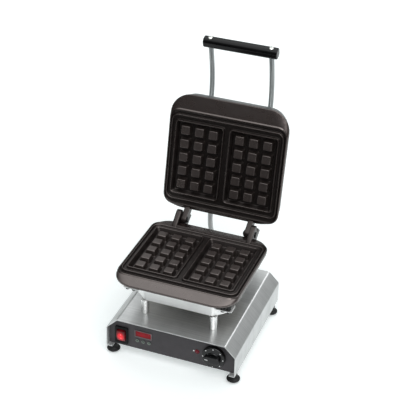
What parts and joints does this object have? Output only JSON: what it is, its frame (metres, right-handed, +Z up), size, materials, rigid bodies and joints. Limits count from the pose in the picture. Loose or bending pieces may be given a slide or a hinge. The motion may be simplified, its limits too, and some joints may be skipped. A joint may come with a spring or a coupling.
{
  "type": "belgian waffle maker",
  "caption": "Double waffle maker: a steel base with controls, a raised lower baking plate and a hinged upper plate with a long bar handle, standing open.",
  "frame": {"origin": "middle of the footprint of the whole machine with its lid open, on the surface it stands on", "axes": "+Z up, +X to the right of someone who stands in front of the controls, +Y to the back"},
  "size_m": [0.3126, 0.4332, 0.617],
  "materials": {
    "stainless_sheet": "fine brushed",
    "bright_steel": "polished",
    "seasoned_cast_iron": "seasoned, satin",
    "panel_foil": "matte",
    "foot_rubber": "matte",
    "black_plastic": "gloss",
    "black_bolt_steel": "blackened",
    "red_lens": "gloss",
    "dark_red_lens": "gloss",
    "grey_plastic": "satin",
    "hose_sheath": "satin braid",
    "heater_steel": "oxidised",
    "probe_copper": "satin",
    "circuit_board": "satin",
    "ceramic_block": "matte"
  },
  "bodies": {
    "base": {"base_housing": "stainless_sheet", "bottom_plate": "stainless_sheet", "foot_front_left": "foot_rubber", "foot_front_right": "foot_rubber", "foot_rear_left": "foot_rubber", "foot_rear_right": "foot_rubber", "front_panel": "panel_foil", "rear_panel": "stainless_sheet", "pillar_front_left": "bright_steel", "pillar_front_right": "bright_steel", "pillar_rear_left": "bright_steel", "pillar_rear_right": "bright_steel", "wiring_sleeve": "stainless_sheet", "heater_tray": "bright_steel", "lower_baking_plate": "seasoned_cast_iron", "plate_bolt_front_left_inner": "black_bolt_steel", "plate_bolt_front_left_outer": "black_bolt_steel", "plate_bolt_front_right_inner": "black_bolt_steel", "plate_bolt_front_right_outer": "black_bolt_steel", "plate_bolt_rear_left": "black_bolt_steel", "plate_bolt_rear_right": "black_bolt_steel", "lower_heating_element": "heater_steel", "hinge_pin_left": "bright_steel", "hinge_pin_right": "bright_steel", "pin_clip_left": "bright_steel", "pin_clip_right": "bright_steel", "hose_fitting_base": "bright_steel", "lid_hose": "hose_sheath", "switch_bezel": "black_plastic", "display_frame": "grey_plastic", "display_window": "dark_red_lens", "timer_board": "circuit_board", "indicator_lamp": "dark_red_lens", "thermostat_body": "ceramic_block", "thermostat_probe": "probe_copper", "terminal_block": "ceramic_block", "cable_gland": "black_plastic"},
    "lid": {"upper_baking_plate": "seasoned_cast_iron", "upper_heating_element": "heater_steel", "upper_cover": "stainless_sheet", "handle_rod_left": "stainless_sheet", "handle_rod_right": "stainless_sheet", "handle_screw_left": "bright_steel", "handle_screw_right": "bright_steel", "handle_grip": "black_plastic", "rod_strap_front": "stainless_sheet", "rod_strap_rear": "stainless_sheet", "strap_screw_front_left": "bright_steel", "strap_screw_front_right": "bright_steel", "strap_screw_rear_left": "bright_steel", "strap_screw_rear_right": "bright_steel", "hose_fitting_lid": "bright_steel", "lid_terminal_block": "ceramic_block"},
    "rocker": {"switch_rocker": "red_lens"},
    "button_1": {"timer_button_1": "black_plastic"},
    "button_2": {"timer_button_2": "black_plastic"},
    "button_3": {"timer_button_3": "black_plastic"},
    "knob": {"thermostat_knob": "black_plastic", "thermostat_shaft": "bright_steel"}
  },
  "joints": [
    {"name": "lid_hinge", "type": "hinge", "parent": "base", "child": "lid", "pos_m": [0, 0.06788, 0.208], "axis": [1, 0, 0], "range_deg": [0, 100.5], "deforming": ["lid_hose"]},
    {"name": "switch_pivot", "type": "hinge", "parent": "base", "child": "rocker", "pos_m": [-0.118, -0.19942, 0.0515], "axis": [1, 0, 0], "range_deg": [-16, 0]},
    {"name": "button_1_press", "type": "slide", "parent": "base", "child": "button_1", "axis": [0, 1, 0], "range_m": [0, 0.001], "stiffness_N_per_m": 200, "springref_m": -0.001},
    {"name": "button_2_press", "type": "slide", "parent": "base", "child": "button_2", "axis": [0, 1, 0], "range_m": [0, 0.001], "stiffness_N_per_m": 200, "springref_m": -0.001},
    {"name": "button_3_press", "type": "slide", "parent": "base", "child": "button_3", "axis": [0, 1, 0], "range_m": [0, 0.001], "stiffness_N_per_m": 200, "springref_m": -0.001},
    {"name": "knob_turn", "type": "hinge", "parent": "base", "child": "knob", "pos_m": [0.098, -0.19612, 0.0575], "axis": [0, 1, 0], "range_deg": [0, 270]}
  ]
}
